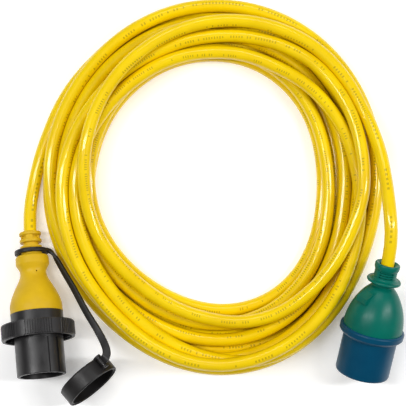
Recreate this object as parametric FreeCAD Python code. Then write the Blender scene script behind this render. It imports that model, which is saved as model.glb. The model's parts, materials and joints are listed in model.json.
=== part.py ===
import FreeCAD, Part
import math
import os

# A coiled marine shore power cord, laid flat: a boat-side locking connector with a tethered
# weather cap, a loose round coil of three-core cord, and a shore-side plug with round pins.
# Millimetres. +Z up, the surface it lies on is z = 0, the origin is below the middle of the box.

V = FreeCAD.Vector

# ---------------------------------------------------------------- driving dimensions

CORD_R = 5.9

# the coil: outlines as a mean radius and four harmonics (cos, sin) about its middle,
# and how far each is moved outwards at each height
COIL_MIDDLE = V(6.1, 14.1, 0.0)
COIL_HEIGHT = 40.0
COIL_OUTER_SLOPE = ((0.0, -4.0), (6.0, 0.0), (12.0, 0.0), (20.0, -6.0), (32.0, -13.0),
                    (COIL_HEIGHT, -20.0))
COIL_INNER_SLOPE = ((0.0, 4.0), (6.0, 0.0), (20.0, 0.0), (30.0, 5.0), (COIL_HEIGHT, 14.0))
COIL_OUTER = (163.9, ((5.2, -1.0), (-7.5, -0.5), (-2.3, 1.6), (0.9, 0.9)))
COIL_INNER = (105.4, ((0.8, 2.0), (-4.9, -2.1), (-2.9, 0.0), (-0.3, 0.5)))
OUTLINE_POINTS = 24

# boat connector: ring centre, heading of its axis in plan from -Y towards +X, tilt of its mouth;
# angles about its axis are in degrees, the ribs' too
BOAT_RING_AT = V(-146.6, -118, 0.0)
BOAT_HEADING = 6.5
BOAT_TILT = 14.0
BOAT_LENGTH = 131.0
RELIEF_R = 10.0
RELIEF_GROOVE_R = 9.3
SPIGOT_R = 8.5
COLLAR_R = 23.5
COLLAR_START = 74.6
BARREL_START = 76.0
CARRIER_R = 20.8
BARREL_R = 21.8
BARREL_BORE_R = 19.0
RING_R = 33.2
RING_SKIRT_R = 29.8
RING_START = 84.3
RING_LENGTH = 14.0
RING_WEB = 3.0
RIB_GROUPS = 6
RIBS_IN_GROUP = 12
RIB_PITCH = 3.9
RIB_HEIGHT = 0.7
RIB_FOOT = 1.15
RIB_TOP = 0.65
LUG_ANGLES = (90.0, 210.0, 330.0)
RUNNING_GAP = 0.08
BARREL_FREE_START = 99.4
KEYWAYS = ((64.5, 9.0), (36.5, 7.0))
CONTACT_CIRCLE_R = 10.5
CONTACT_FACE = 124.0
CONTACT_ANGLES = (90.0, 210.0, 330.0)
DRAIN_R = 0.7

# tether and weather cap
LOOP_BORE_R = 11.9
LOOP_R = 15.4
LOOP_AT = 18.5
LOOP_WIDTH = 3.6
STRAP_THICK = 3.0
STRAP_EYE_WIDTH = 7.6
EAR_GAP = 0.5
EAR_THICK = 2.2
EAR_R = 3.0
CAP_R = 26.0
CAP_DEPTH = 15.6
CAP_BORE_R = 23.0
CAP_WALL = 2.2
CAP_BACK_AT = V(-107.2, -156.9, 0.0)
CAP_HEADING = (0.662, -0.7495)
CAP_TILT = 13.5
CAP_LIFT = -0.25
RING_DROP = 0.3
SHROUD_DROP = 0.39
CAP_PIN_OUT = 28.9
CAP_PIN_R = 1.2
CAP_PIN_ANGLE = 40.0
CAP_PIN_DEPTH = 6.5

# shore plug: gland mouth, heading of its axis in plan from -Y towards -X, tilt of the gland end
SHORE_MOUTH_AT = V(163.6, -55.9, 0.0)
SHORE_HEADING = 11.2
SHORE_TILT = 17.0
SHORE_LENGTH = 105.5
SHROUD_R = 24.4
SHROUD_BORE_R = 22.2
SHORE_RIM_R = 29.0
SHORE_RIM_START = 61.0
SHORE_RIM_END = 68.0
PIN_CARRIER_START = 58.0
PIN_CARRIER_FACE = 75.0
PIN_CIRCLE_R = 11.5
PIN_R = 2.5
EARTH_PIN_R = 3.0
PIN_END = 99.0
PIN_ANGLES = (76.0, 316.0, 196.0)
CATCH_WIDTH = 12.0
CATCH_ANGLE = 140.0

# cord clamps: middle station, width along the cord and reach either side of it
BOAT_CLAMP = (50.0, 6.0, 12.4)
SHORE_CLAMP = (36.5, 6.0, 13.6)
CLAMP_GAP = 1.2

CORE_R = 1.9
CORE_NAMES = ("live", "neutral", "earth")

# leads: the route from inside each fitting to where the cord joins the coil
LEAD_INSIDE = 12.0
LEAD_STRAIGHT = 14.0
BOAT_LEAD = (
    V(-154.0, 11.2, 6.0),
    V(-147.9, 39.1, 5.95),
    V(-138.6, 64.6, 5.9),
)
SHORE_LEAD = (
    V(165.4, -14.9, 58.2),
    V(162.6, 14.1, 51.4),
    V(158.4, 43.2, 42.0),
    V(149.4, 70.5, 32.2),
)
TANGENT_SHARE = 0.45


# ---------------------------------------------------------------- building blocks

def flat_edges(start, steps):
    """Edges of an outline in the XZ plane: a pair is a straight step, a list a smooth curve."""
    edges = []
    here = V(start[0], 0, start[1])
    first = here
    for step in steps:
        if isinstance(step, list):
            through = [here] + [V(r, 0, s) for r, s in step]
            curve = Part.BSplineCurve()
            curve.interpolate(through)
            edges.append(curve.toShape())
            here = through[-1]
        else:
            there = V(step[0], 0, step[1])
            edges.append(Part.LineSegment(here, there).toShape())
            here = there
    if here.distanceToPoint(first) > 1e-6:
        edges.append(Part.LineSegment(here, first).toShape())
    return edges


def turned(start, *steps):
    """A solid of revolution about local Z, from (radius, station) steps."""
    face = Part.Face(Part.Wire(flat_edges(start, steps)))
    return face.revolve(V(0, 0, 0), V(0, 0, 1), 360)


def rod(radius, low, high, x=0.0, y=0.0):
    """A round bar along local Z between two stations."""
    return Part.makeCylinder(radius, high - low, V(x, y, low))


def ring(bore, radius, low, high):
    """A plain tube along local Z between two stations."""
    return rod(radius, low, high).cut(rod(bore, low - 1, high + 1))


def around(angle, radius, station=0.0):
    """A point at an angle about local Z, 0 along local X and 90 towards the top."""
    turn = math.radians(angle)
    return V(radius * math.cos(turn), radius * math.sin(turn), station)


def block_at(angle, radius, low, high, width, depth):
    """A box centred at an angle and radius: width along the tangent, depth along the radius."""
    box = Part.makeBox(depth, width, high - low, V(radius - depth / 2, -width / 2, low))
    box.rotate(V(0, 0, 0), V(0, 0, 1), angle)
    return box


def radial_rod(angle, near, far, radius, station):
    """A round bar along a radius, from near to far, at a station."""
    out = around(angle, 1.0)
    return Part.makeCylinder(radius, far - near, out * near + V(0, 0, station), out)


def sector(bore, radius, low, high, middle, width):
    """Part of a ring, width degrees wide about its middle angle."""
    wedge = Part.makeCylinder(radius, high - low, V(0, 0, low), V(0, 0, 1), width)
    wedge.rotate(V(0, 0, 0), V(0, 0, 1), middle - width / 2)
    return wedge.cut(rod(bore, low - 1, high + 1))


def route_edges(points):
    """Straight runs joined by tangent arcs, each as large as its two runs allow, and the radii."""
    edges = []
    radii = []
    here = points[0]
    for before, corner, after in zip(points, points[1:], points[2:]):
        back = (before - corner).normalize()
        on = (after - corner).normalize()
        run = min((before - corner).Length, (after - corner).Length)
        half_turn = (math.pi - back.getAngle(on)) / 2
        tangent = TANGENT_SHARE * run
        radius = tangent / math.tan(half_turn)
        start = corner + back * tangent
        end = corner + on * tangent
        inward = (back + on).normalize()
        middle = corner + inward * (radius / math.cos(half_turn) - radius)
        edges.append(Part.LineSegment(here, start).toShape())
        edges.append(Part.Arc(start, middle, end).toShape())
        radii.append(radius)
        here = end
    edges.append(Part.LineSegment(here, points[-1]).toShape())
    return edges, radii


def tube(name, points, radius):
    """A round tube along a route, with its bend radii and its volume over section times length."""
    edges, radii = route_edges(points)
    spine = Part.Wire(edges)
    heading = points[1] - points[0]
    section = Part.Wire(Part.Circle(points[0], heading, radius).toShape())
    solid = spine.makePipeShell([section], True, False)
    ratio = solid.Volume / (math.pi * radius ** 2 * spine.Length)
    print(name, "length", round(spine.Length, 1), "radii", [round(r) for r in radii],
          "volume ratio", round(ratio, 4))
    return solid


def frame_at(origin, axis):
    """A placement with local Z along an axis and local Y as near to straight up as it allows."""
    along = V(axis)
    along.normalize()
    up = V(0, 0, 1) - along * along.z
    up.normalize()
    side = up.cross(along)
    return FreeCAD.Placement(origin, FreeCAD.Rotation(side, up, along, "ZYX"))


def placed(shape, frame):
    """A copy of a shape made in a fitting's own frame, moved to the common frame."""
    moved = shape.copy()
    moved.Placement = frame.multiply(moved.Placement)
    return moved


def heading_axis(sideways, tilt):
    """A unit axis towards -Y, turned sideways in plan towards +X and tilted up, in degrees."""
    turn = math.radians(sideways)
    rise = math.radians(tilt)
    return V(math.sin(turn) * math.cos(rise), -math.cos(turn) * math.cos(rise), math.sin(rise))


# ---------------------------------------------------------------- boat connector, in its own frame

def boat_body():
    """The bottle-shaped hollow body, from the shoulder behind the tether to the collar."""
    shell = turned(
        (SPIGOT_R, 22.0), (12.6, 22.0), [(14.3, 22.7), (15.0, 24.6)], (15.0, 30.2),
        [(13.6, 32.8), (12.0, 36.0), (11.85, 39.0), (13.2, 43.5), (16.9, 50.5), (20.3, 57.5),
         (22.7, 64.0), (COLLAR_R, 71.0)],
        (COLLAR_R, COLLAR_START), (CARRIER_R, COLLAR_START), (CARRIER_R, 68.0), (19.2, 62.0),
        (11.6, 45.0), (SPIGOT_R, 38.0))
    drain = radial_rod(68.0, 5.0, 16.0, DRAIN_R, 38.0)
    return shell.cut(drain)


def boat_strain_relief():
    """Three ribs with notched waists, the tether groove and the spigot that enters the body."""
    relief = turned(
        (CORD_R, 0.0), (9.2, 0.0), [(9.8, 0.6), (RELIEF_R, 1.8), (9.7, 3.0)], (8.7, 3.4),
        (8.7, 6.8), (9.8, 7.1), [(RELIEF_R, 8.4), (9.6, 9.8)], (7.1, 10.2), (7.1, 12.9),
        (9.9, 13.2), (9.9, 14.8), (RELIEF_GROOVE_R, 15.2), (RELIEF_GROOVE_R, 22.0),
        (SPIGOT_R, 22.0), (SPIGOT_R, 34.0), (CORD_R, 34.0))
    for angle in (45, 135, 225, 315):
        relief = relief.cut(sector(7.0, 12.0, 3.7, 6.5, angle, 48.0))
    return relief


def boat_collar():
    """The plain black band between the body and the lock ring."""
    return turned(
        (BARREL_R, BARREL_START), (CARRIER_R, BARREL_START), (CARRIER_R, COLLAR_START),
        (COLLAR_R, COLLAR_START), (COLLAR_R, 83.3), (22.9, 83.9), (BARREL_R, 83.9))


def boat_barrel():
    """The keyed shroud of the contacts: two grooves beside a raised key strip."""
    shell = ring(BARREL_BORE_R, BARREL_R, BARREL_START, BOAT_LENGTH)
    lip = turned((BARREL_R - 0.5, BOAT_LENGTH), (BARREL_R + 1, BOAT_LENGTH),
                 (BARREL_R + 1, BOAT_LENGTH - 1.5))
    shell = shell.cut(lip)
    shell = shell.cut(ring(BARREL_R - 0.3, BARREL_R + 1, BARREL_FREE_START - 1.0, BARREL_FREE_START))
    for angle, width in KEYWAYS:
        shell = shell.cut(sector(BARREL_R - 1.4, BARREL_R + 1, BARREL_FREE_START, BOAT_LENGTH + 1,
                                 angle, width))
    return shell


def ribbed_outline(radius):
    """The lock ring's outside: ribs in groups, joined by arcs a rib's height lower."""
    base_r = radius - RIB_HEIGHT
    middles = [360.0 * group / RIB_GROUPS + rib * RIB_PITCH
               for group in range(RIB_GROUPS) for rib in range(RIBS_IN_GROUP)]
    edges = []
    for middle, following in zip(middles, middles[1:] + [middles[0] + 360.0]):
        foot_in = around(middle - RIB_FOOT, base_r)
        top_in = around(middle - RIB_TOP, radius)
        top_out = around(middle + RIB_TOP, radius)
        foot_out = around(middle + RIB_FOOT, base_r)
        between = around((middle + following) / 2, base_r)
        edges.append(Part.LineSegment(foot_in, top_in).toShape())
        edges.append(Part.LineSegment(top_in, top_out).toShape())
        edges.append(Part.LineSegment(top_out, foot_out).toShape())
        edges.append(Part.Arc(foot_out, between, around(following - RIB_FOOT, base_r)).toShape())
    return Part.Wire(edges)


def lock_ring():
    """The knurled ring: a web that runs on the barrel, a skirt, ribs in groups and three lugs."""
    end = RING_START + RING_LENGTH
    solid = Part.Face(ribbed_outline(RING_R)).extrude(V(0, 0, RING_LENGTH))
    solid.translate(V(0, 0, RING_START))
    inner, outer = RING_R - 0.9, RING_R + 2.0
    for face, inward in ((RING_START, 1), (end, -1)):
        solid = solid.cut(turned(
            (inner, face - inward), (outer, face - inward), (outer, face + 1.4 * inward),
            (RING_R + 0.1, face + 1.4 * inward), (inner, face + 0.4 * inward)))
    solid = solid.cut(rod(BARREL_R + RUNNING_GAP, RING_START - 1, end + 1))
    solid = solid.cut(rod(RING_SKIRT_R, RING_START + RING_WEB, end + 1))
    for angle in LUG_ANGLES:
        solid = solid.fuse(sector(27.6, RING_SKIRT_R + 0.5, end - 4.5, end - 1.5, angle, 26.0))
    return solid.removeSplitter()


def ring_retainer():
    """A split snap ring on the barrel that keeps the lock ring from sliding off."""
    low = RING_START + RING_WEB + 0.4
    return sector(BARREL_R, 23.4, low, low + 1.4, 270.0, 340.0)


def ring_seal():
    """The face seal at the foot of the ring's recess."""
    low = RING_START + RING_WEB
    return turned((24.4, low), (RING_SKIRT_R, low), (RING_SKIRT_R, low + 2.0),
                  (25.4, low + 2.0), (24.4, low + 1.2))


def boat_contact(angle):
    """A brass receptacle: a slotted block behind the face and a round terminal behind it."""
    block = block_at(angle, CONTACT_CIRCLE_R, 98.0, 122.0, 9.0, 4.4)
    slot = block_at(angle, CONTACT_CIRCLE_R, 104.0, 123.0, 7.0, 1.6)
    at = around(angle, CONTACT_CIRCLE_R)
    return block.cut(slot).fuse(rod(3.0, 86.0, 98.0, at.x, at.y))


def boat_terminal_screw(angle):
    """The screw that clamps a core in its terminal, reached from the side."""
    return radial_rod(angle, CONTACT_CIRCLE_R + 3.0, BARREL_BORE_R - 1.0, 1.5, 92.0)


def boat_contact_carrier():
    """The moulded insert in the barrel, with a slot in its face for each contact."""
    insert = turned((0, 86.0), (BARREL_BORE_R, 86.0), (BARREL_BORE_R, CONTACT_FACE - 0.6),
                    (BARREL_BORE_R - 0.6, CONTACT_FACE), (0, CONTACT_FACE))
    insert = insert.cut(rod(3.2, CONTACT_FACE - 8.0, CONTACT_FACE + 1))
    for angle in CONTACT_ANGLES:
        insert = insert.cut(boat_contact(angle))
        insert = insert.cut(block_at(angle, CONTACT_CIRCLE_R, 104.0, CONTACT_FACE + 1, 7.0, 1.6))
        insert = insert.cut(boat_terminal_screw(angle))
    return insert


def clamp_half(upper, clamp):
    """Half of a cord clamp: a saddle over the jacket with two screw holes."""
    middle, width, reach = clamp
    body = Part.makeBox(2 * reach, reach, width, V(-reach, 0, middle - width / 2))
    body = body.common(rod(reach, middle - width, middle + width))
    corner = V(-2 * reach, -CLAMP_GAP / 2, middle - 2 * width)
    body = body.cut(Part.makeBox(4 * reach, CLAMP_GAP, 4 * width, corner))
    body = body.cut(rod(CORD_R, middle - width, middle + width))
    if not upper:
        body.rotate(V(0, 0, 0), V(0, 0, 1), 180)
    for side in (-1, 1):
        body = body.cut(clamp_screw(side, clamp))
    return body


def clamp_screw(side, clamp):
    """A small pan-head screw across the two clamp halves, beside the jacket."""
    middle, _, reach = clamp
    out = side * (CORD_R + reach) / 2
    shank = Part.makeCylinder(1.1, 6.4, V(out, -3.2, middle), V(0, 1, 0))
    head = Part.makeCylinder(1.9, 1.2, V(out, 2.9, middle), V(0, 1, 0))
    return shank.fuse(head)


def group(solids):
    """Several like solids exported as one node."""
    return Part.makeCompound(solids)


# ---------------------------------------------------------------- weather cap, in its own frame

def cap_frame():
    """The cap's placement: lying on its edge, its mouth tilted up."""
    rise = math.radians(CAP_TILT)
    axis = V(CAP_HEADING[0] * math.cos(rise), CAP_HEADING[1] * math.cos(rise), math.sin(rise))
    height = CAP_R * math.cos(rise) + CAP_LIFT
    return frame_at(V(CAP_BACK_AT.x, CAP_BACK_AT.y, height), axis)


def weather_cap():
    """A cup with a step inside its lip and two ears that carry the tether pin."""
    cup = turned(
        (0, 0.0), (CAP_R - 1.6, 0.0), [(CAP_R - 0.5, 0.45), (CAP_R, 1.6)], (CAP_R, CAP_DEPTH - 1.0),
        [(CAP_R - 0.3, CAP_DEPTH - 0.3), (CAP_R - 1.0, CAP_DEPTH)], (CAP_R - 1.5, CAP_DEPTH),
        (CAP_R - 1.5, CAP_DEPTH - 0.9), (CAP_BORE_R, CAP_DEPTH - 0.9), (CAP_BORE_R, CAP_WALL),
        (0, CAP_WALL))
    half_gap = STRAP_EYE_WIDTH / 2 + EAR_GAP
    for low in (CAP_PIN_DEPTH - half_gap - EAR_THICK, CAP_PIN_DEPTH + half_gap):
        lug = block_at(CAP_PIN_ANGLE, (CAP_R - 1 + CAP_PIN_OUT) / 2, low, low + EAR_THICK, 6.0,
                       CAP_PIN_OUT - CAP_R + 1)
        at = around(CAP_PIN_ANGLE, CAP_PIN_OUT)
        cup = cup.fuse(lug).fuse(rod(EAR_R, low, low + EAR_THICK, at.x, at.y))
    return cup.cut(tether_pin()).removeSplitter()


def tether_pin():
    """The steel pin through the cap's ears and the strap's eye."""
    at = around(CAP_PIN_ANGLE, CAP_PIN_OUT)
    half = STRAP_EYE_WIDTH / 2 + EAR_GAP + EAR_THICK
    return rod(CAP_PIN_R, CAP_PIN_DEPTH - half, CAP_PIN_DEPTH + half, at.x, at.y)


def cap_seal():
    """The flat rubber disc seal on the cap's floor."""
    return turned((15.0, CAP_WALL), (CAP_BORE_R, CAP_WALL), (CAP_BORE_R, CAP_WALL + 1.6),
                  (15.6, CAP_WALL + 1.6), (15.0, CAP_WALL + 1.0))


# ---------------------------------------------------------------- tether, in the common frame

def strap_section(at, along, across, width):
    """A closed rectangle across the strap, its width along one side and its thickness along the other."""
    along = V(along)
    along.normalize()
    side = V(across) - along * along.dot(V(across))
    side.normalize()
    normal = along.cross(side)
    half_side = side * (width / 2)
    half_thick = normal * (STRAP_THICK / 2)
    corners = [at - half_side - half_thick, at + half_side - half_thick,
               at + half_side + half_thick, at - half_side + half_thick]
    return Part.makePolygon(corners + corners[:1])


# the strap's middle line, the direction of its width and the width there
STRAP_STATIONS = (
    (V(-136.4, -47.7, 17.4), V(0.3, -0.6, 0.8), 4.6),
    (V(-131.3, -54.5, 19.4), V(0.68, -0.2, 0.65), 5.2),
    (V(-124.0, -66.4, 22.4), V(0.78, 0.25, 0.6), 5.6),
    (V(-114.8, -81.3, 26.2), V(0.8, 0.42, 0.5), 5.8),
    (V(-104.3, -99.8, 31.0), V(0.84, 0.42, 0.42), 6.0),
    (V(-93.7, -116.1, 36.2), V(0.86, 0.4, 0.3), 6.4),
    (V(-87.2, -127.3, 41.4), V(0.92, 0.0, 0.16), 6.8),
    (V(-84.6, -134.9, 45.2), V(0.8, -0.45, 0.16), 7.2),
)
STRAP_END_ANGLE = 25.0
STRAP_END_REACH = 6.0


def tether_strap(boat, cap):
    """The loop round the neck, the strap and the eye that turns on the cap's pin."""
    band = turned((LOOP_BORE_R, -LOOP_WIDTH / 2), (LOOP_R - 0.6, -LOOP_WIDTH / 2),
                  (LOOP_R, 0.6 - LOOP_WIDTH / 2), (LOOP_R, LOOP_WIDTH / 2 - 0.6),
                  (LOOP_R - 0.6, LOOP_WIDTH / 2), (LOOP_BORE_R, LOOP_WIDTH / 2))
    band.translate(V(0, 0, LOOP_AT))
    loop = placed(band, boat)

    at = around(CAP_PIN_ANGLE, CAP_PIN_OUT)
    low = CAP_PIN_DEPTH - STRAP_EYE_WIDTH / 2
    eye = rod(2.5, low, low + STRAP_EYE_WIDTH, at.x, at.y)
    hole = rod(CAP_PIN_R + RUNNING_GAP, low - 1, low + STRAP_EYE_WIDTH + 1, at.x, at.y)
    pin_axis = cap.Rotation.multVec(V(0, 0, 1))
    pin_middle = cap.multVec(V(at.x, at.y, CAP_PIN_DEPTH))

    root = boat.multVec(V(LOOP_R - 2.2, 1.0, LOOP_AT - 0.9))
    root_across = V(0.15, -0.85, 0.5)
    stops = [(root, root_across, LOOP_WIDTH)] + list(STRAP_STATIONS)
    reach = around(STRAP_END_ANGLE, STRAP_END_REACH, CAP_PIN_DEPTH)
    stops.append((cap.multVec(reach + V(at.x, at.y, 0)), pin_axis, STRAP_EYE_WIDTH))
    stops.append((pin_middle, pin_axis, STRAP_EYE_WIDTH))
    sections = []
    for index, (point, across, width) in enumerate(stops):
        before = stops[max(index - 1, 0)][0]
        after = stops[min(index + 1, len(stops) - 1)][0]
        sections.append(strap_section(point, after - before, across, width))
    strap = Part.makeLoft(sections, True, False)
    for ear_low in (low - EAR_GAP - EAR_THICK, low + STRAP_EYE_WIDTH + EAR_GAP):
        relief = rod(EAR_R + 0.4, ear_low - 0.35, ear_low + EAR_THICK + 0.35, at.x, at.y)
        strap = strap.cut(placed(relief, cap))
    whole = loop.fuse(strap).fuse(placed(eye, cap))
    return whole.cut(placed(hole, cap)).removeSplitter()


# ---------------------------------------------------------------- shore plug, in its own frame

def shore_body():
    """The hollow dome with its lid catch."""
    dome = turned(
        (9.0, 21.4), (9.3, 21.4),
        [(14.6, 26.6), (20.3, 35.5), (23.9, 44.0), (25.9, 52.0), (26.8, SHORE_RIM_START)],
        (24.0, SHORE_RIM_START), (23.6, 52.0), (21.4, 44.0), (17.4, 36.0), (11.6, 28.6), (9.0, 26.0))
    half_width = CATCH_WIDTH / 2
    profile = ((11.0, 24.6), (22.3, 31.0), (22.9, 35.6), (20.6, 36.4), (18.0, 37.0), (11.0, 29.5))
    corners = [V(radius, -half_width, station) for radius, station in profile]
    wedge = Part.Face(Part.makePolygon(corners + corners[:1])).extrude(V(0, CATCH_WIDTH, 0))
    wedge.rotate(V(0, 0, 0), V(0, 0, 1), CATCH_ANGLE)
    hollow = turned((0, 20.0), (9.0, 20.0), (9.0, 26.0), (11.6, 28.6), (17.4, 36.0),
                    (21.4, 44.0), (0, 44.0))
    return dome.fuse(wedge.cut(hollow)).removeSplitter()


def shore_gland():
    """The cup-mouthed, slotted strain relief with its flange and the spigot in the dome."""
    gland = turned(
        (CORD_R, 4.5), (CORD_R, 3.0), [(6.9, 1.6), (8.6, 0.6)], (9.4, 0.2), [(10.6, 0.3), (11.2, 1.6)],
        (11.2, 3.2), [(10.8, 5.2), (10.1, 6.6)], (10.1, 13.4), [(10.9, 14.4), (14.6, 15.2)],
        [(15.3, 16.4), (14.6, 17.8)], (9.3, 19.6), (9.3, 21.4), (9.0, 21.4), (9.0, 32.0),
        (CORD_R, 32.0))
    for station in (6.9, 9.1, 11.3):
        for angle in (90.0, 210.0, 330.0):
            gland = gland.cut(sector(8.4, 12.0, station, station + 1.1, angle, 76.0))
    return gland


def shore_shroud():
    """The sleeve round the pins, with its rim and two steps under the rim."""
    return turned(
        (SHROUD_BORE_R, SHORE_RIM_START), (27.6, SHORE_RIM_START),
        [(28.7, SHORE_RIM_START + 0.8), (SHORE_RIM_R, SHORE_RIM_START + 2.4)],
        (SHORE_RIM_R, SHORE_RIM_END - 1.6), (SHORE_RIM_R - 1.2, SHORE_RIM_END),
        (25.3, SHORE_RIM_END), (25.3, SHORE_RIM_END + 1.4), (SHROUD_R, SHORE_RIM_END + 2.2),
        (SHROUD_R, SHORE_LENGTH - 1.4), (SHROUD_R - 0.5, SHORE_LENGTH),
        (SHROUD_BORE_R + 0.3, SHORE_LENGTH), (SHROUD_BORE_R, SHORE_LENGTH - 0.6))


def shore_pin(index):
    """A round contact pin with a domed end and its terminal behind the carrier."""
    radius = EARTH_PIN_R if CORE_NAMES[index] == "earth" else PIN_R
    root = radius + 0.3
    pin = turned((0, PIN_CARRIER_START), (3.4, PIN_CARRIER_START), (3.4, 66.0), (root, 66.0),
                 (root, PIN_CARRIER_FACE), (radius, PIN_CARRIER_FACE), (radius, PIN_END - 1.2),
                 [(radius * 0.8, PIN_END - 0.35), (0, PIN_END)])
    pin.translate(around(PIN_ANGLES[index], PIN_CIRCLE_R))
    return pin


def shore_terminal_screw(index):
    """The screw that clamps a core in its pin's terminal."""
    return radial_rod(PIN_ANGLES[index], PIN_CIRCLE_R + 3.4, 19.4, 1.5, 61.0)


def shore_pin_carrier():
    """The moulded insert that holds the pins at the foot of the shroud."""
    insert = turned((0, PIN_CARRIER_START), (20.6, PIN_CARRIER_START), (20.6, SHORE_RIM_START),
                    (SHROUD_BORE_R, SHORE_RIM_START), (SHROUD_BORE_R, PIN_CARRIER_FACE),
                    (0, PIN_CARRIER_FACE))
    insert = insert.cut(ring(17.0, 19.6, PIN_CARRIER_FACE - 1.2, PIN_CARRIER_FACE + 1))
    for index in range(3):
        insert = insert.cut(shore_pin(index))
        insert = insert.cut(shore_terminal_screw(index))
    return insert


def shore_seal():
    """The flat gasket between the dome's foot and the carrier's shoulder."""
    return ring(20.6, 22.8, SHORE_RIM_START - 2.4, SHORE_RIM_START)


# ---------------------------------------------------------------- cores

def core(name, start, end, angle, radius):
    """An insulated core: out of the jacket, across the body and straight into its terminal."""
    near = around(angle, 2.5, start)
    far = around(angle, radius, end)
    reach = end - start
    leave = near + V(0, 0, reach * 0.3)
    arrive = far - V(0, 0, reach * 0.3)
    return tube(name, (near, leave, arrive, far), CORE_R)


# ---------------------------------------------------------------- coil

def outline_radius(outline, turn):
    """The outline's distance from the coil's middle at an angle in radians."""
    mean, harmonics = outline
    waves = sum(c * math.cos((n + 1) * turn) + s * math.sin((n + 1) * turn)
                for n, (c, s) in enumerate(harmonics))
    return mean + waves


def outline_wire(outline, height, offset):
    """The closed outline at a height, moved outwards by an offset."""
    points = []
    for step in range(OUTLINE_POINTS):
        turn = 2 * math.pi * step / OUTLINE_POINTS
        radius = outline_radius(outline, turn) + offset
        points.append(COIL_MIDDLE + V(radius * math.cos(turn), radius * math.sin(turn), height))
    curve = Part.BSplineCurve()
    curve.interpolate(Points=points, PeriodicFlag=True)
    return Part.Wire(curve.toShape())


def outline_solid(outline, slope):
    """A solid through the same outline at each height, with its slope applied."""
    return Part.makeLoft([outline_wire(outline, height, offset) for height, offset in slope], True, True)


def coil(leads):
    """The outer shape of the wound cord: a ring with sloping shoulders, and room for the leads."""
    solid = outline_solid(COIL_OUTER, COIL_OUTER_SLOPE)
    solid = solid.cut(outline_solid(COIL_INNER, COIL_INNER_SLOPE))
    for lead in leads:
        solid = solid.cut(lead)
    pieces = sorted(solid.Solids, key=lambda s: s.Volume)
    return pieces[-1]


def lead_route(fitting, points):
    """A lead's whole route: straight out of its fitting's bore, then through the points."""
    inside = fitting.multVec(V(0, 0, LEAD_INSIDE))
    outside = fitting.multVec(V(0, 0, -LEAD_STRAIGHT))
    print("lead starts", [round(c, 2) for c in inside], [round(c, 2) for c in outside])
    return (inside, outside) + points


# ---------------------------------------------------------------- assembly

def build():
    """Every node of the assembly by name, in the common frame."""
    nodes = {}

    boat_axis = heading_axis(BOAT_HEADING, BOAT_TILT)
    rise = math.radians(BOAT_TILT)
    ring_middle = RING_START + RING_LENGTH / 2
    tail_height = RING_R * math.cos(rise) - RING_START * math.sin(rise) - RING_DROP
    tail = BOAT_RING_AT - boat_axis * ring_middle
    boat = frame_at(V(tail.x, tail.y, tail_height), boat_axis)
    print("boat tail", [round(c, 3) for c in boat.Base], "axis", [round(c, 5) for c in boat_axis])

    shore_axis = heading_axis(-SHORE_HEADING, -SHORE_TILT)
    drop = math.radians(SHORE_TILT)
    mouth_height = SHROUD_R * math.cos(drop) + SHORE_LENGTH * math.sin(drop) - SHROUD_DROP
    shore = frame_at(V(SHORE_MOUTH_AT.x, SHORE_MOUTH_AT.y, mouth_height), shore_axis)
    print("shore mouth", [round(c, 3) for c in shore.Base], "axis", [round(c, 5) for c in shore_axis])

    cap = cap_frame()
    pin_at = around(CAP_PIN_ANGLE, CAP_PIN_OUT, CAP_PIN_DEPTH)
    print("cap pin", [round(c, 3) for c in cap.multVec(pin_at)],
          "axis", [round(c, 5) for c in cap.Rotation.multVec(V(0, 0, 1))])

    boat_lead = tube("cord_lead_boat", lead_route(boat, BOAT_LEAD), CORD_R)
    shore_lead = tube("cord_lead_shore", lead_route(shore, SHORE_LEAD), CORD_R)
    nodes["cord_lead_boat"] = boat_lead
    nodes["cord_lead_shore"] = shore_lead
    nodes["cord_coil"] = coil((boat_lead, shore_lead))

    boat_parts = {
        "boat_body": boat_body(),
        "boat_strain_relief": boat_strain_relief(),
        "boat_collar": boat_collar(),
        "boat_barrel": boat_barrel(),
        "boat_contact_carrier": boat_contact_carrier(),
        "boat_terminal_screws": group([boat_terminal_screw(a) for a in CONTACT_ANGLES]),
        "boat_jacket_end": rod(CORD_R, 12.0, 56.0),
        "boat_clamp_upper": clamp_half(True, BOAT_CLAMP),
        "boat_clamp_lower": clamp_half(False, BOAT_CLAMP),
        "boat_clamp_screws": group([clamp_screw(side, BOAT_CLAMP) for side in (-1, 1)]),
        "lock_ring": lock_ring(),
        "ring_retainer": ring_retainer(),
        "ring_seal": ring_seal(),
    }
    for name, angle in zip(CORE_NAMES, CONTACT_ANGLES):
        boat_parts["boat_contact_" + name] = boat_contact(angle)
        boat_parts["boat_core_" + name] = core("boat_core_" + name, 56.0, 86.0, angle, CONTACT_CIRCLE_R)
    for name, shape in boat_parts.items():
        nodes[name] = placed(shape, boat)

    nodes["tether_strap"] = tether_strap(boat, cap)
    nodes["tether_pin"] = placed(tether_pin(), cap)
    nodes["weather_cap"] = placed(weather_cap(), cap)
    nodes["cap_seal"] = placed(cap_seal(), cap)

    shore_parts = {
        "shore_body": shore_body(),
        "shore_gland": shore_gland(),
        "shore_shroud": shore_shroud(),
        "shore_pin_carrier": shore_pin_carrier(),
        "shore_terminal_screws": group([shore_terminal_screw(i) for i in range(3)]),
        "shore_seal": shore_seal(),
        "shore_jacket_end": rod(CORD_R, 12.0, 40.0),
        "shore_clamp_upper": clamp_half(True, SHORE_CLAMP),
        "shore_clamp_lower": clamp_half(False, SHORE_CLAMP),
        "shore_clamp_screws": group([clamp_screw(side, SHORE_CLAMP) for side in (-1, 1)]),
    }
    for index, name in enumerate(CORE_NAMES):
        shore_parts["shore_pin_" + name] = shore_pin(index)
        shore_parts["shore_core_" + name] = core("shore_core_" + name, 40.0, PIN_CARRIER_START,
                                                 PIN_ANGLES[index], PIN_CIRCLE_R)
    for name, shape in shore_parts.items():
        nodes[name] = placed(shape, shore)
    return nodes


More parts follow.
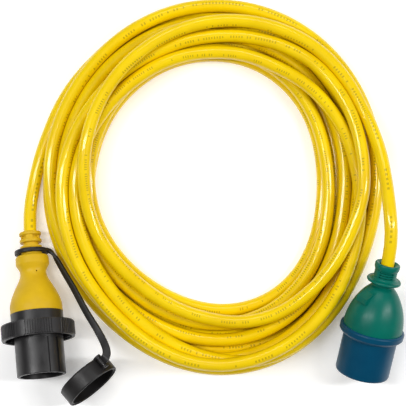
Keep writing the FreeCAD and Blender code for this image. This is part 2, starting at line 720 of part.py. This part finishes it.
os.makedirs("parts", exist_ok=True)
whole_box = FreeCAD.BoundBox()
for name, shape in build().items():
    shape.exportStep("parts/" + name + ".step")
    box = shape.optimalBoundingBox()
    whole_box.add(box)
    print(name, "solids", len(shape.Solids), "valid", shape.isValid(), "volume", round(shape.Volume),
          "z", round(box.ZMin, 2), round(box.ZMax, 2))
print("box", [round(v, 2) for v in (whole_box.XMin, whole_box.XMax, whole_box.YMin, whole_box.YMax,
                                    whole_box.ZMin, whole_box.ZMax)])
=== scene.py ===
import json
import math

import bmesh
import bpy
import numpy as np
from mathutils import Matrix, Vector


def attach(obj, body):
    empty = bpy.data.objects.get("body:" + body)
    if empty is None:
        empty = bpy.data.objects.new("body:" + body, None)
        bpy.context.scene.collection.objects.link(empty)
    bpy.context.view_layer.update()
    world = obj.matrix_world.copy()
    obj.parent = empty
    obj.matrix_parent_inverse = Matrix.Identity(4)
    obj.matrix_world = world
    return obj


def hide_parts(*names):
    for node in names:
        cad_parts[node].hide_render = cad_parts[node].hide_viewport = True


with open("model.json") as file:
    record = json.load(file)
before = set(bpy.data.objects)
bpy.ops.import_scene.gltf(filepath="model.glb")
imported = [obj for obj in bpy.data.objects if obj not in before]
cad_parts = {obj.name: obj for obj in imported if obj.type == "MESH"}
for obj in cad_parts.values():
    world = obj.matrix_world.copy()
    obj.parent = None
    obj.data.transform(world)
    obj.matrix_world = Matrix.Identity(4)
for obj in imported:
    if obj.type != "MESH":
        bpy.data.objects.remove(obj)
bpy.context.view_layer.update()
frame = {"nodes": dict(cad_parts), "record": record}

# The looks of a coiled shore power cord: the wound cord, the two moulded connectors, the weather
# cap on its tether, their materials, a pale floor and a camera straight above. Metres, apart from
# where a comment says millimetres.

MM = 0.001
SCENE = bpy.context.scene

# ---------------------------------------------------------------- the cord's own sizes

CORD_D = 0.0118
CORD_LENGTH = 9.89

# the coil: its middle seen from above, the angle in degrees where it starts, its turns, the
# radius and height where it starts and ends, and the points in each turn
COIL_MIDDLE = (0.0061, 0.0141)
COIL_START = 160.8
COIL_TURNS = 11.375
COIL_START_AT = (0.1532, 0.0059)
COIL_END_AT = (0.1530, 0.0302)
STEPS_A_TURN = 48

# how finely the cord's curve is drawn, round its section and between its points
BEVEL_STEPS = 7
SPLINE_STEPS = 3

# the leads: from inside each connector to where the cord joins the coil
BOAT_LEAD = (
    (-0.15531, -0.04155, 0.01442),
    (-0.15817, -0.01648, 0.00813),
    (-0.15400, 0.01120, 0.00600),
    (-0.14790, 0.03910, 0.00595),
    (-0.13860, 0.06460, 0.00590),
)
SHORE_LEAD = (
    (0.16137, -0.06716, 0.05028),
    (0.16620, -0.04277, 0.05788),
    (0.16540, -0.01490, 0.05820),
    (0.16260, 0.01410, 0.05140),
    (0.15840, 0.04320, 0.04200),
    (0.14940, 0.07050, 0.03220),
)

# the coil's section, seen from above: its middle radius and half its width, as a mean in
# millimetres and (waves a turn, cosine, sine) for each way that it is out of round
SECTION_MIDDLE = (134.6, ((1, 3.0, 0.5), (2, -6.2, -1.3), (3, -2.6, 0.8), (4, 0.3, 0.7)))
SECTION_HALF = (23.0, ((1, 2.2, -1.5), (2, -1.3, 0.8), (3, 0.3, 0.8), (4, 0.6, 0.2)))

# how the turns lie, from the boat end to the shore end: turns wound so far, place across the
# section from its inner edge at 0 to its outer edge at 1, and layer above the floor
COIL_ROWS = (
    (0.0, 1.10, 0.0),
    (0.07, 1.00, 0.0),
    (0.9, 0.97, 0.0),
    (1.2, 0.80, 0.0),
    (2.0, 0.70, 0.0),
    (2.6, 0.52, 0.0),
    (3.4, 0.30, 0.0),
    (4.1, 0.08, 0.0),
    (4.6, 0.00, 0.2),
    (4.9, 0.04, 1.0),
    (5.4, 0.03, 1.0),
    (5.7, 0.22, 1.0),
    (6.3, 0.36, 1.0),
    (7.0, 0.58, 1.0),
    (7.4, 0.66, 1.0),
    (7.8, 0.86, 1.0),
    (8.1, 0.96, 1.0),
    (8.3, 0.98, 1.0),
    (8.45, 0.96, 1.0),
    (8.6, 0.86, 1.6),
    (8.75, 0.68, 2.0),
    (8.95, 0.34, 2.0),
    (9.1, 0.08, 2.0),
    (9.2, 0.02, 2.0),
    (9.28, 0.10, 2.0),
    (9.34, 0.32, 2.0),
    (9.39, 0.50, 2.0),
    (9.45, 0.64, 2.0),
    (9.55, 0.78, 2.0),
    (9.7, 0.82, 2.0),
    (9.85, 0.66, 2.0),
    (9.95, 0.48, 2.0),
    (10.05, 0.30, 2.0),
    (10.15, 0.28, 2.2),
    (10.2, 0.35, 2.4),
    (10.25, 0.50, 2.6),
    (10.31, 0.74, 3.0),
    (10.37, 0.84, 3.0),
    (10.46, 0.74, 3.0),
    (10.52, 0.56, 3.0),
    (10.58, 0.36, 3.0),
    (10.7, 0.14, 3.0),
    (10.8, 0.10, 3.0),
    (10.95, 0.15, 3.0),
    (11.03, 0.24, 3.0),
    (11.12, 0.38, 3.0),
    (11.18, 0.53, 3.0),
    (11.25, 0.72, 3.0),
    (11.3, 0.86, 3.0),
    (11.375, 1.00, 3.0),
)

# how the turns are laid: the rounds, the share of them that gravity acts in, and in each of those
# the fall in metres and the share of the way that a turn goes back to its own radius
LAY_ROUNDS = 700
FALLING_SHARE = 0.75
GRAVITY = 0.00012
RADIUS_PULL = 0.03

# how far apart layers start, in cord diameters, and the points at each end that may lie further
# out than the section does
LAYER_RISE = 0.95
FREE_POINTS = 4

# how touching turns part: the times in a round, the distance from middle to middle that they aim
# for in cord diameters, and the power of the number of touches that a push is shared by
PUSHES_A_ROUND = 3
TOUCH_SPACING = 1.005
SHARED_PUSH = 0.6

# how strongly the cord's stiffness evens it out in a round, while it falls and once it has settled
STIFF_FALLING = 0.35
STIFF_SETTLED = 0.12


# ---------------------------------------------------------------- the cord

def out_of_round(turn, shape):
    """A radius in metres at each angle, from a mean and its waves."""
    mean, waves = shape
    radius = mean + sum(c * np.cos(n * turn) + s * np.sin(n * turn) for n, c, s in waves)
    return radius * MM


def coil_plan():
    """Each point's angle, the radius it would take on its own, its first height, and the
    section's edges there."""
    count = int(round(COIL_TURNS * STEPS_A_TURN)) + 1
    wound = np.arange(count) / STEPS_A_TURN
    turn = np.radians(COIL_START - 360.0 * wound)
    rows = np.array(COIL_ROWS)
    place = np.interp(wound, rows[:, 0], rows[:, 1])
    layer = np.interp(wound, rows[:, 0], rows[:, 2])
    middle = out_of_round(turn, SECTION_MIDDLE)
    half = out_of_round(turn, SECTION_HALF)
    radius = middle + (2 * place - 1) * half
    height = CORD_D / 2 + layer * LAYER_RISE * CORD_D
    return turn, radius, height, middle - half, middle + half


def part_touching(radius, height):
    """Moves turns that overlap at the same angle apart, each by half."""
    count = len(radius)
    move_r, move_z, touches = np.zeros(count), np.zeros(count), np.zeros(count)
    for offset in range(STEPS_A_TURN, count, STEPS_A_TURN):
        near, far = slice(0, count - offset), slice(offset, count)
        across, up = radius[far] - radius[near], height[far] - height[near]
        distance = np.hypot(across, up) + 1e-9
        push = np.where(distance < CORD_D, CORD_D * TOUCH_SPACING - distance, 0.0) / distance / 2
        for side, sign in ((near, -1), (far, 1)):
            move_r[side] += sign * push * across
            move_z[side] += sign * push * up
            touches[side] += push > 0
    shared = np.maximum(touches, 1) ** SHARED_PUSH
    return radius + move_r / shared, height + move_z / shared


def straighten(values, strength):
    """Takes sharp changes out along the cord, as its stiffness does."""
    bend = np.zeros(len(values))
    bend[1:-1] = (values[:-2] + values[2:]) / 2 - values[1:-1]
    return values + strength * bend


def wind_coil():
    """The turns of the coil, laid on the floor and on each other under gravity."""
    turn, wanted, height, inner, outer = coil_plan()
    outer[:FREE_POINTS] = np.maximum(outer, COIL_START_AT[0])[:FREE_POINTS]
    outer[-FREE_POINTS:] = np.maximum(outer, COIL_END_AT[0])[-FREE_POINTS:]
    radius = wanted.copy()
    for step in range(LAY_ROUNDS):
        falling = step < LAY_ROUNDS * FALLING_SHARE
        if falling:
            height = height - GRAVITY
            radius = radius + RADIUS_PULL * (wanted - radius)
        for _ in range(PUSHES_A_ROUND):
            radius, height = part_touching(radius, height)
            radius = np.clip(radius, inner, outer)
            height = np.maximum(height, CORD_D / 2)
        strength = STIFF_FALLING if falling else STIFF_SETTLED
        radius = wanted + straighten(radius - wanted, strength)
        height = straighten(height, strength)
        radius[0], height[0] = COIL_START_AT
        radius[-1], height[-1] = COIL_END_AT
    across = COIL_MIDDLE[0] + radius * np.cos(turn)
    along = COIL_MIDDLE[1] + radius * np.sin(turn)
    return [tuple(point) for point in zip(across, along, height)]


def make_cord(paint):
    """The whole cord as one open NURBS spline, from inside one connector to inside the other."""
    points = list(BOAT_LEAD) + wind_coil()[1:] + list(reversed(SHORE_LEAD))
    curve = bpy.data.curves.new("cord", "CURVE")
    curve.dimensions = "3D"
    curve.bevel_depth = CORD_D / 2
    curve.bevel_resolution = BEVEL_STEPS
    curve.resolution_u = SPLINE_STEPS
    curve.use_fill_caps = True
    curve.twist_mode = "Z_UP"
    spline = curve.splines.new("NURBS")
    spline.points.add(len(points) - 1)
    for slot, point in zip(spline.points, points):
        slot.co = (*point, 1.0)
    spline.order_u = 3
    spline.use_endpoint_u = True
    cord = bpy.data.objects.new("cord", curve)
    SCENE.collection.objects.link(cord)
    cord.data.materials.append(paint)
    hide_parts("cord_coil", "cord_lead_boat", "cord_lead_shore")
    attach(cord, "root")
    return cord


# ---------------------------------------------------------------- materials

# the part of a noise's range that most of it falls in
NOISE_RANGE = (0.3, 0.7)


def new_material(name, **fixed):
    """A node material with the shader's fixed values set by socket name, spaces as underscores."""
    made = bpy.data.materials.new(name)
    made.use_nodes = True
    shader = made.node_tree.nodes["Principled BSDF"]
    for socket, value in fixed.items():
        shader.inputs[socket.replace("_", " ")].default_value = value
    return made, made.node_tree, shader


def node(tree, kind, settings=None, **inputs):
    """Adds a node; a value that is a socket is linked, and any other value is set."""
    made = tree.nodes.new(kind)
    for name, value in (settings or {}).items():
        setattr(made, name, value)
    for name, value in inputs.items():
        key = int(name[1:]) if name[1:].isdigit() else name.replace("_", " ")
        if isinstance(value, bpy.types.NodeSocket):
            tree.links.new(value, made.inputs[key])
        else:
            made.inputs[key].default_value = value
    return made


def maths(tree, operation, *values):
    """A sum, product or other operation on sockets and numbers."""
    made = node(tree, "ShaderNodeMath", {"operation": operation},
                **{"i%d" % index: value for index, value in enumerate(values)})
    return made.outputs[0]


def noise(tree, place, scale, detail=3.0, roughness=0.55):
    """Soft noise between 0 and 1 over a place."""
    made = node(tree, "ShaderNodeTexNoise", Vector=place, Scale=scale, Detail=detail,
                Roughness=roughness)
    return made.outputs["Fac"]


def spread(tree, value, low, high, to_low, to_high):
    """Stretches a value from one range to another, clamped."""
    made = node(tree, "ShaderNodeMapRange", {"clamp": True}, Value=value, From_Min=low,
                From_Max=high, To_Min=to_low, To_Max=to_high)
    return made.outputs[0]


def blend_colour(tree, share, first, second):
    """Mixes two colours; each is a socket or three numbers."""
    made = node(tree, "ShaderNodeMix", {"data_type": "RGBA"}, Factor=share)
    for key, value in (("A", first), ("B", second)):
        socket = [s for s in made.inputs if s.name == key and s.type == "RGBA"][0]
        if isinstance(value, bpy.types.NodeSocket):
            tree.links.new(value, socket)
        else:
            socket.default_value = (*value, 1.0)
    return [s for s in made.outputs if s.type == "RGBA"][0]


def raised(tree, height, strength, distance, under=None):
    """A bumped normal, on top of another where one is given."""
    made = node(tree, "ShaderNodeBump", Height=height, Strength=strength, Distance=distance)
    if under is not None:
        tree.links.new(under, made.inputs["Normal"])
    return made.outputs["Normal"]


def moulded(name, colour, shade, rough=(0.35, 0.5), grain=900.0, depth=0.00006, **fixed):
    """Moulded plastic or rubber: cloudy colour, uneven gloss, a fine spark-eroded grain."""
    made, tree, shader = new_material(name, **fixed)
    place = node(tree, "ShaderNodeTexCoord").outputs["Object"]
    cloud = noise(tree, place, 42.0)
    tint = blend_colour(tree, spread(tree, cloud, 0.35, 0.68, 0.0, 1.0), colour, shade)
    fine = noise(tree, place, grain, 2.0)
    smear = noise(tree, place, 130.0, 4.0)
    tree.links.new(tint, shader.inputs["Base Color"])
    tree.links.new(spread(tree, smear, *NOISE_RANGE, *rough), shader.inputs["Roughness"])
    flow = raised(tree, smear, 0.25, depth * 3)
    tree.links.new(raised(tree, fine, 0.6, depth, flow), shader.inputs["Normal"])
    return made


# the row of ticks on the jacket, along the cord: millimetres from tick to tick, where a tick
# starts and ends as shares of that, the share left out, and the noise that parts them into groups
TICK_EVERY = 2.5
TICK_FROM = 0.3
TICK_TO = 0.78
TICKS_LEFT_OUT = 0.22
GROUP_SCALE = 0.11
GROUP_LEVEL = 0.44

# and round the cord, as shares of the way round: where the row wanders from and to, how slowly,
# and half a tick's width with the most that chance adds to it
PRINT_FROM = 0.15
PRINT_TO = 0.35
WANDER_SCALE = 0.004
TICK_REACH = 0.02
TICK_REACH_MORE = 0.014

INK_SHARE = 0.42
INK_COLOUR = (0.11, 0.075, 0.01)


def line_noise(tree, value, scale):
    """Slow noise along a line."""
    made = node(tree, "ShaderNodeTexNoise", {"noise_dimensions": "1D"}, W=value, Scale=scale,
                Detail=0.0)
    return made.outputs["Fac"]


def jacket_ink(tree):
    """How dark the row of plain ticks is, from the cord's own length and round coordinates."""
    mapped = node(tree, "ShaderNodeUVMap", {"uv_map": "UVMap"}).outputs[0]
    split = node(tree, "ShaderNodeSeparateXYZ", Vector=mapped)
    along = maths(tree, "MULTIPLY", split.outputs[0], CORD_LENGTH / MM)
    around = split.outputs[1]
    cell = maths(tree, "DIVIDE", along, TICK_EVERY)
    index = maths(tree, "FLOOR", cell)
    within = maths(tree, "FRACT", cell)
    picked = node(tree, "ShaderNodeTexWhiteNoise", {"noise_dimensions": "1D"}, W=index).outputs[0]
    tick = maths(tree, "MULTIPLY", maths(tree, "GREATER_THAN", within, TICK_FROM),
                 maths(tree, "LESS_THAN", within, TICK_TO))
    tick = maths(tree, "MULTIPLY", tick, maths(tree, "GREATER_THAN", picked, TICKS_LEFT_OUT))
    groups = line_noise(tree, index, GROUP_SCALE)
    tick = maths(tree, "MULTIPLY", tick, maths(tree, "GREATER_THAN", groups, GROUP_LEVEL))
    wander = line_noise(tree, along, WANDER_SCALE)
    middle = spread(tree, wander, *NOISE_RANGE, PRINT_FROM, PRINT_TO)
    off = maths(tree, "ABSOLUTE", maths(tree, "SUBTRACT", around, middle))
    reach = maths(tree, "MULTIPLY_ADD", picked, TICK_REACH_MORE, TICK_REACH)
    band = maths(tree, "LESS_THAN", off, reach)
    return maths(tree, "MULTIPLY", maths(tree, "MULTIPLY", tick, band), INK_SHARE)


def jacket(name):
    """The cord's smooth jacket: glossy yellow with a faint row of printed ticks."""
    made, tree, shader = new_material(name, Coat_Weight=0.6, Coat_Roughness=0.09, Coat_IOR=1.42,
                                      Specular_IOR_Level=0.12)
    place = node(tree, "ShaderNodeTexCoord").outputs["Object"]
    cloud = noise(tree, place, 26.0)
    tint = blend_colour(tree, spread(tree, cloud, 0.35, 0.7, 0.0, 1.0),
                        (0.87, 0.62, 0.0), (0.79, 0.535, 0.0))
    tint = blend_colour(tree, jacket_ink(tree), tint, INK_COLOUR)
    fine = noise(tree, place, 1400.0, 2.0)
    sway = noise(tree, place, 75.0, 2.0)
    tree.links.new(tint, shader.inputs["Base Color"])
    tree.links.new(spread(tree, sway, *NOISE_RANGE, 0.3, 0.4), shader.inputs["Roughness"])
    flow = raised(tree, sway, 0.2, 0.0004)
    tree.links.new(raised(tree, fine, 0.35, 0.00003, flow), shader.inputs["Normal"])
    return made


def metal(name, colour, rough):
    """Plated or turned metal with fine scratches."""
    made, tree, shader = new_material(name, Metallic=1.0)
    place = node(tree, "ShaderNodeTexCoord").outputs["Object"]
    stretched = node(tree, "ShaderNodeMapping", Vector=place, Scale=(1.0, 0.08, 1.0)).outputs[0]
    scratch = noise(tree, stretched, 2600.0, 4.0, 0.7)
    stain = noise(tree, place, 160.0)
    dull = tuple(0.72 * c for c in colour)
    tint = blend_colour(tree, spread(tree, stain, 0.4, 0.75, 0.0, 1.0), colour, dull)
    tree.links.new(tint, shader.inputs["Base Color"])
    tree.links.new(spread(tree, scratch, *NOISE_RANGE, *rough), shader.inputs["Roughness"])
    tree.links.new(raised(tree, scratch, 0.3, 0.00002), shader.inputs["Normal"])
    return made


def make_materials():
    """One detailed material for each material slot of the record."""
    return {
        "cord_jacket": jacket("cord_jacket"),
        "yellow_housing": moulded("yellow_housing", (0.67, 0.43, 0.008), (0.59, 0.365, 0.006),
                                  (0.36, 0.5), Specular_IOR_Level=0.25),
        "black_plastic": moulded("black_plastic", (0.01, 0.0095, 0.01), (0.016, 0.015, 0.016),
                                 (0.3, 0.42), Specular_IOR_Level=0.45),
        "black_cap_plastic": moulded("black_cap_plastic", (0.009, 0.008, 0.008),
                                     (0.014, 0.013, 0.013), (0.36, 0.5),
                                     Specular_IOR_Level=0.32),
        "black_rubber": moulded("black_rubber", (0.016, 0.016, 0.016), (0.028, 0.027, 0.026),
                                (0.55, 0.75), 1300.0),
        "insulator": moulded("insulator", (0.014, 0.014, 0.015), (0.022, 0.022, 0.023), (0.45, 0.6)),
        "green_housing": moulded("green_housing", (0.0, 0.135, 0.098), (0.0, 0.11, 0.082),
                                 (0.28, 0.38), Specular_IOR_Level=0.2),
        "blue_shroud": moulded("blue_shroud", (0.0, 0.06, 0.125), (0.0, 0.05, 0.108),
                               (0.28, 0.38), Specular_IOR_Level=0.18),
        "steel": metal("steel", (0.62, 0.62, 0.64), (0.22, 0.4)),
        "core_brown": moulded("core_brown", (0.17, 0.06, 0.02), (0.13, 0.05, 0.02)),
        "core_blue": moulded("core_blue", (0.01, 0.08, 0.4), (0.01, 0.06, 0.32)),
        "core_green_yellow": moulded("core_green_yellow", (0.1, 0.4, 0.03), (0.6, 0.5, 0.02)),
        "contact_brass": metal("contact_brass", (0.8, 0.58, 0.25), (0.18, 0.35)),
    }


def paint_cad(paints):
    """Gives every CAD node the detailed material of its slot."""
    slots = {}
    for item in frame["record"]["subparts"]:
        slots[item["node"]] = item["material_slot"]
    for name, part in frame["nodes"].items():
        part.data.materials.clear()
        part.data.materials.append(paints[slots[name]])


# ---------------------------------------------------------------- fittings

# millimetres; a station is a distance along the boat connector from its cable end
RING_STATION = 91.3
LOOP_STATION = 18.5
LOOP_BORE = 11.9
LOOP_RADIUS = 15.4
LOOP_HALF_WIDTH = 1.8
LOOP_CORNER = 0.6
PIN_BORE = 1.28
EYE_RADIUS = 2.5
EYE_HALF_WIDTH = 3.8
EYE_CORNER = 0.3
STRAP_HALF_THICK = 1.5
STRAP_CORNER = 0.75
RIM_STATION = 74.1
RIM_RADIUS = 23.45
RIM_BEAD = 0.35
RIM_FLAT = 0.01

# how finely the fittings are meshed
RING_SEGMENTS = 144
EYE_SEGMENTS = 48
STRAP_SAMPLES = 96
FINE_CORNER_STEPS = 4

# the strap's middle line, the direction of its width and the width there, in millimetres
STRAP_STOPS = (
    ((-136.4, -47.7, 17.4), (0.3, -0.6, 0.8), 4.6),
    ((-131.3, -54.5, 19.4), (0.68, -0.2, 0.65), 5.2),
    ((-124.0, -66.4, 22.4), (0.78, 0.25, 0.6), 5.6),
    ((-114.8, -81.3, 26.2), (0.8, 0.42, 0.5), 5.8),
    ((-104.3, -99.8, 31.0), (0.84, 0.42, 0.42), 6.0),
    ((-93.7, -116.1, 36.2), (0.86, 0.4, 0.3), 6.4),
    ((-87.2, -127.3, 41.4), (0.92, 0.0, 0.16), 6.8),
    ((-84.6, -134.9, 45.2), (0.8, -0.45, 0.16), 7.2),
)

# the strap's first stop, in the boat connector's own frame, and the way that it comes in to the
# eye: the angle in degrees, and how far from the pin its last two stops are
STRAP_ROOT = ((13.2, 1.0, 17.6), (0.15, -0.85, 0.5), 3.6)
STRAP_END_ANGLE = 25.0
STRAP_END_REACH = 6.0
STRAP_EYE_REACH = 1.9


def joint_axis(name):
    """A joint's point and its unit axis, from the record."""
    joints = frame["record"]["behaviour"]["joints"]
    joint = [item for item in joints if item["name"] == name][0]
    return Vector(joint["pos_m"]), Vector(joint["axis"]).normalized()


def place_along(origin, axis):
    """A frame in millimetres: Z along the axis, Y as near to straight up as it allows."""
    up = (Vector((0.0, 0.0, 1.0)) - axis * axis.z).normalized()
    side = up.cross(axis)
    turn = Matrix((side, up, axis)).transposed().to_4x4()
    return Matrix.Translation(origin) @ turn @ Matrix.Scale(MM, 4)


def boat_place():
    """The boat connector's own frame, station 0 at the cable end."""
    point, axis = joint_axis("lock_ring_turn")
    return place_along(point - axis * RING_STATION * MM, axis)


def close_rings(shape, rings, around=True):
    """Faces between rows of points; each row is a loop, and around closes the last to the first."""
    rows = [[shape.verts.new(point) for point in ring] for ring in rings]
    pairs = list(zip(rows, rows[1:]))
    if around:
        pairs.append((rows[-1], rows[0]))
    for near, far in pairs:
        for index, vert in enumerate(near):
            after = (index + 1) % len(near)
            shape.faces.new((vert, near[after], far[after], far[index]))
    if not around:
        shape.faces.new(rows[0][::-1])
        shape.faces.new(rows[-1])


def rounded_outline(half_x, half_y, corner, middle=(0.0, 0.0), steps=6):
    """The points of a rectangle with round corners."""
    points = []
    for quarter, (sign_x, sign_y) in enumerate(((1, 1), (-1, 1), (-1, -1), (1, -1))):
        for step in range(steps + 1):
            turn = math.radians(90.0 * quarter + 90.0 * step / steps)
            points.append((middle[0] + sign_x * (half_x - corner) + corner * math.cos(turn),
                           middle[1] + sign_y * (half_y - corner) + corner * math.sin(turn)))
    return points


def turn_outline(shape, outline, place, segments=RING_SEGMENTS):
    """A ring made by turning an outline of (radius, station) about a frame's Z."""
    rings = []
    for segment in range(segments):
        turn = 2 * math.pi * segment / segments
        across, along = math.cos(turn), math.sin(turn)
        rings.append([place @ Vector((radius * across, radius * along, station))
                      for radius, station in outline])
    close_rings(shape, rings)


def smooth_through(values, share):
    """A smooth curve through evenly spaced values, at a share of its length."""
    at = share * (len(values) - 1)
    index = min(int(at), len(values) - 2)
    t = at - index
    before = values[max(index - 1, 0)]
    start, end = values[index], values[index + 1]
    after = values[min(index + 2, len(values) - 1)]
    leave, arrive = (end - before) / 2, (after - start) / 2
    return ((2 * t ** 3 - 3 * t ** 2 + 1) * start + (t ** 3 - 2 * t ** 2 + t) * leave
            + (3 * t ** 2 - 2 * t ** 3) * end + (t ** 3 - t ** 2) * arrive)


def sweep_strap(shape, stops):
    """The flat strap along its middle line, with soft edges."""
    points, sides, widths = (np.array(column, float) for column in zip(*stops))
    step = 0.002
    rings = []
    for sample in range(STRAP_SAMPLES + 1):
        share = sample / STRAP_SAMPLES
        at = Vector(smooth_through(points, share))
        ahead = smooth_through(points, min(share + step, 1.0))
        behind = smooth_through(points, max(share - step, 0.0))
        along = Vector(ahead - behind).normalized()
        side = Vector(smooth_through(sides, share))
        side = (side - along * side.dot(along)).normalized()
        normal = along.cross(side)
        half = float(smooth_through(widths, share)) / 2
        outline = rounded_outline(half, STRAP_HALF_THICK, STRAP_CORNER,
                                  steps=FINE_CORNER_STEPS)
        rings.append([(at + side * x + normal * y) * MM for x, y in outline])
    close_rings(shape, rings, around=False)


def finish_mesh(name, shape, paint, body):
    """Turns a bmesh into a smooth piece that rides on a body."""
    bmesh.ops.recalc_face_normals(shape, faces=shape.faces)
    mesh = bpy.data.meshes.new(name)
    shape.to_mesh(mesh)
    shape.free()
    mesh.polygons.foreach_set("use_smooth", [True] * len(mesh.polygons))
    mesh.materials.append(paint)
    piece = bpy.data.objects.new(name, mesh)
    SCENE.collection.objects.link(piece)
    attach(piece, body)
    return piece


def add_band(shape, bore, radius, half_width, corner, station, place, segments=RING_SEGMENTS):
    """A flat band with round edges, from its bore to its outside."""
    middle = ((bore + radius) / 2, station)
    outline = rounded_outline((radius - bore) / 2, half_width, corner, middle)
    turn_outline(shape, outline, place, segments)


def make_tether(paint):
    """The loop round the neck, the strap and the eye on the cap's pin, as one moulding."""
    boat = boat_place()
    pin, axis = joint_axis("cap_swing")
    eye = place_along(pin, axis)
    shape = bmesh.new()
    add_band(shape, LOOP_BORE, LOOP_RADIUS, LOOP_HALF_WIDTH, LOOP_CORNER, LOOP_STATION, boat)
    add_band(shape, PIN_BORE, EYE_RADIUS, EYE_HALF_WIDTH, EYE_CORNER, 0.0, eye,
             EYE_SEGMENTS)
    root = (boat @ Vector(STRAP_ROOT[0])) / MM
    stops = [(tuple(root), STRAP_ROOT[1], STRAP_ROOT[2])] + list(STRAP_STOPS)
    turn = math.radians(STRAP_END_ANGLE)
    for reach in (STRAP_END_REACH, STRAP_EYE_REACH):
        at = eye @ Vector((reach * math.cos(turn), reach * math.sin(turn), 0.0))
        stops.append((tuple(at / MM), tuple(axis), 2 * EYE_HALF_WIDTH))
    sweep_strap(shape, stops)
    strap = finish_mesh("tether_moulding", shape, paint, "tether")
    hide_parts("tether_strap")


def make_body_rim(paint):
    """The thin bright bead round the mouth of the yellow body."""
    shape = bmesh.new()
    outline = rounded_outline(RIM_BEAD, RIM_BEAD, RIM_BEAD - RIM_FLAT, (RIM_RADIUS, RIM_STATION),
                              FINE_CORNER_STEPS)
    turn_outline(shape, outline, boat_place())
    finish_mesh("boat_body_rim", shape, paint, "root")


# ---------------------------------------------------------------- floor, light and camera

FLOOR_HALF = 4.0
FLOOR_LEVEL = -0.0002
WORLD_STRENGTH = 0.17

# the lamps: name, place, width and height in metres, and power in watts
LAMPS = (
    ("box_left", (-0.67, 0.1, 1.3), (0.14, 1.1), 12.2),
    ("box_right", (1.25, 0.1, 1.3), (0.18, 1.1), 17.2),
    ("fill", (0.1, 1.3, 1.5), (1.2, 0.5), 8.3),
)

# the camera: its sensor in millimetres, its place, and the width it sees at the focus height
SENSOR_WIDTH = 36.0
CAMERA_AT = (0.00075, -0.00305, 1.3)
FOCUS_HEIGHT = 0.025
FIELD_WIDTH = 0.3654
NEAREST = 0.05
FARTHEST = 20.0


def area_light(name, at, size, power):
    """A rectangular lamp that faces the middle of the floor."""
    light = bpy.data.lights.new(name, "AREA")
    light.shape = "RECTANGLE"
    light.size, light.size_y = size
    light.energy = power
    lamp = bpy.data.objects.new(name, light)
    lamp.location = at
    lamp.rotation_euler = (-Vector(at)).to_track_quat("-Z", "Y").to_euler()
    SCENE.collection.objects.link(lamp)


def floor_paper(name):
    """White paper with a faint glow of its own, so that it stays white round the object."""
    made, tree, shader = new_material(name, Roughness=0.9, Specular_IOR_Level=0.1,
                                      Emission_Color=(1.0, 1.0, 1.0, 1.0), Emission_Strength=0.24)
    place = node(tree, "ShaderNodeTexCoord").outputs["Object"]
    tint = blend_colour(tree, noise(tree, place, 8.0), (0.93, 0.93, 0.93), (0.9, 0.9, 0.9))
    tree.links.new(tint, shader.inputs["Base Color"])
    return made


def make_floor():
    """A square of paper just under the object."""
    mesh = bpy.data.meshes.new("floor")
    corners = [(x * FLOOR_HALF, y * FLOOR_HALF, FLOOR_LEVEL)
               for x, y in ((-1, -1), (1, -1), (1, 1), (-1, 1))]
    mesh.from_pydata(corners, [], [(0, 1, 2, 3)])
    mesh.materials.append(floor_paper("floor_paper"))
    floor = bpy.data.objects.new("floor", mesh)
    SCENE.collection.objects.link(floor)


def make_studio():
    """The floor, an even white world and three soft lamps."""
    make_floor()
    world = bpy.data.worlds.new("studio")
    world.use_nodes = True
    background = world.node_tree.nodes["Background"]
    background.inputs["Color"].default_value = (1.0, 1.0, 1.0, 1.0)
    background.inputs["Strength"].default_value = WORLD_STRENGTH
    SCENE.world = world
    for name, at, size, power in LAMPS:
        area_light(name, at, size, power)
    SCENE.view_settings.view_transform = "Standard"


def make_camera():
    """Straight above, framed to the width of the coil and both connectors."""
    data = bpy.data.cameras.new("camera")
    data.sensor_width = SENSOR_WIDTH
    data.lens = SENSOR_WIDTH * (CAMERA_AT[2] - FOCUS_HEIGHT) / FIELD_WIDTH
    data.clip_start = NEAREST
    data.clip_end = FARTHEST
    camera = bpy.data.objects.new("camera", data)
    camera.location = CAMERA_AT
    SCENE.collection.objects.link(camera)
    SCENE.camera = camera


paints = make_materials()
paint_cad(paints)
cord = make_cord(paints["cord_jacket"])
make_tether(paints["black_cap_plastic"])
make_body_rim(paints["yellow_housing"])
make_studio()
make_camera()
